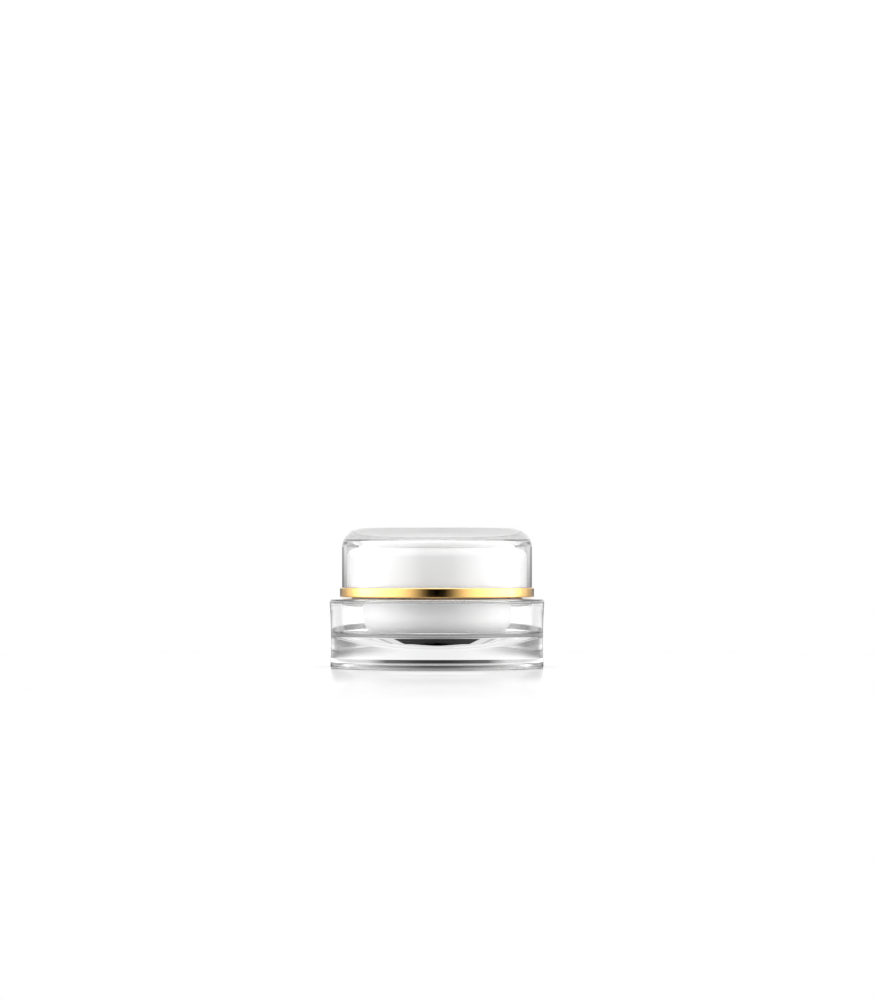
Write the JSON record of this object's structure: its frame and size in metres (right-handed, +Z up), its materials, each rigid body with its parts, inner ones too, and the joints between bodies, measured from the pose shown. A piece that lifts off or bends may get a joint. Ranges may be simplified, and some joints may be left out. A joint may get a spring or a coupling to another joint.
{
  "type": "cosmetic cream jar",
  "caption": "Round double-wall cream jar: clear outer jar, white inner cup, sealing disc and a clear domed screw lid with a gold trim ring.",
  "frame": {"origin": "centre of the foot ring, on the surface that the jar stands on", "axes": "+Z up along the axis of the jar, cup and lid; +X and +Y across the jar, which is round"},
  "size_m": [0.066, 0.066, 0.043],
  "materials": {
    "clear_acrylic": "clear polished acrylic",
    "white_plastic": "white moulded plastic, semi-gloss",
    "disc_plastic": "natural white plastic, satin",
    "liner_foam": "white closed-cell foam, matt",
    "gold_plate": "polished gold-coloured metal plating"
  },
  "bodies": {
    "jar": {"outer_jar": "clear_acrylic", "inner_cup": "white_plastic"},
    "sealing_disc": {"sealing_disc": "disc_plastic"},
    "lid_liner": {"lid_liner": "liner_foam"},
    "lid": {"inner_cap": "white_plastic", "bond_pad": "liner_foam", "outer_cap": "clear_acrylic", "trim_ring": "gold_plate"}
  },
  "joints": [
    {"name": "lid_rise", "type": "slide", "parent": "jar", "child": "lid_liner", "axis": [0, 0, 1], "range_m": [0, 0.015]},
    {"name": "lid_turn", "type": "hinge", "parent": "lid_liner", "child": "lid", "pos_m": [0, 0, 0.03], "axis": [0, 0, 1], "range_deg": [0, 600]},
    {"name": "disc_rise", "type": "slide", "parent": "jar", "child": "sealing_disc", "axis": [0, 0, 1], "range_m": [0, 0.0065]}
  ],
  "couplings": [
    {"joint": "lid_turn", "follows": "lid_rise", "rad_per_m": 698.13},
    {"joint": "disc_rise", "follows": "lid_rise", "ratio": 0.4}
  ]
}
